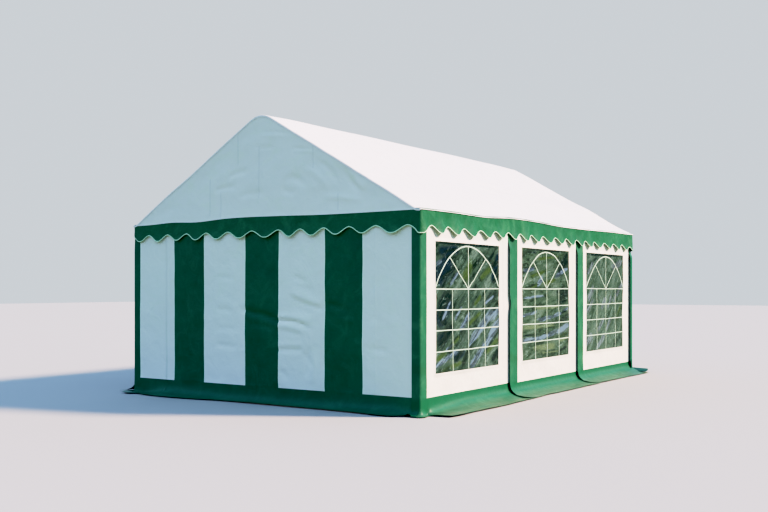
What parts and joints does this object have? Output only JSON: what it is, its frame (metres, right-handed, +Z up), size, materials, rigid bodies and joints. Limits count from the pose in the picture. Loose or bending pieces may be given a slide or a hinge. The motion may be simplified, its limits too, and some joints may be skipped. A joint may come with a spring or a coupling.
{
  "type": "marquee tent",
  "caption": "Ridge-roofed marquee tent with scalloped valances, striped end walls and windowed side panels hung on a steel tube frame.",
  "frame": {"origin": "on the ground at the middle of the plan", "axes": "+X across the tent towards its right side seen from the front, +Y along it from the front gable to the rear, +Z up"},
  "size_m": [4.5, 6.36, 3.1177],
  "materials": {
    "galvanised_tube": "hot-dip galvanised, dull silver with faint spangle",
    "roof_cloth": "white coated cloth, satin, lightly wrinkled",
    "panel_cloth": "white coated cloth with green strip and flap, satin",
    "striped_cloth": "coated cloth in green and white upright stripes, satin",
    "green_cloth": "dark green coated cloth, satin",
    "piping": "white binding tape",
    "clear_sheet": "clear flexible sheet, glossy, rippled"
  },
  "bodies": {
    "root": {"post_front_right": "galvanised_tube", "post_mid_front_right": "galvanised_tube", "post_mid_rear_right": "galvanised_tube", "post_rear_right": "galvanised_tube", "post_front_left": "galvanised_tube", "post_mid_front_left": "galvanised_tube", "post_mid_rear_left": "galvanised_tube", "post_rear_left": "galvanised_tube", "rafter_front_right": "galvanised_tube", "rafter_mid_front_right": "galvanised_tube", "rafter_mid_rear_right": "galvanised_tube", "rafter_rear_right": "galvanised_tube", "rafter_front_left": "galvanised_tube", "rafter_mid_front_left": "galvanised_tube", "rafter_mid_rear_left": "galvanised_tube", "rafter_rear_left": "galvanised_tube", "ridge_beam": "galvanised_tube", "eave_rail_right": "galvanised_tube", "eave_rail_left": "galvanised_tube", "tie_beam_front": "galvanised_tube", "tie_beam_rear": "galvanised_tube", "roof_slope_right": "roof_cloth", "roof_slope_left": "roof_cloth", "gable_front": "roof_cloth", "gable_rear": "roof_cloth", "valance_right": "green_cloth", "valance_left": "green_cloth", "valance_front": "green_cloth", "valance_rear": "green_cloth", "front_wall": "striped_cloth", "rear_wall": "striped_cloth", "side_panel_right_1": "panel_cloth", "side_panel_right_2": "panel_cloth", "side_panel_right_3": "panel_cloth", "side_panel_left_1": "panel_cloth", "side_panel_left_2": "panel_cloth", "side_panel_left_3": "panel_cloth", "window_right_1": "clear_sheet", "window_right_2": "clear_sheet", "window_right_3": "clear_sheet", "window_left_1": "clear_sheet", "window_left_2": "clear_sheet", "window_left_3": "clear_sheet"}
  },
  "joints": []
}
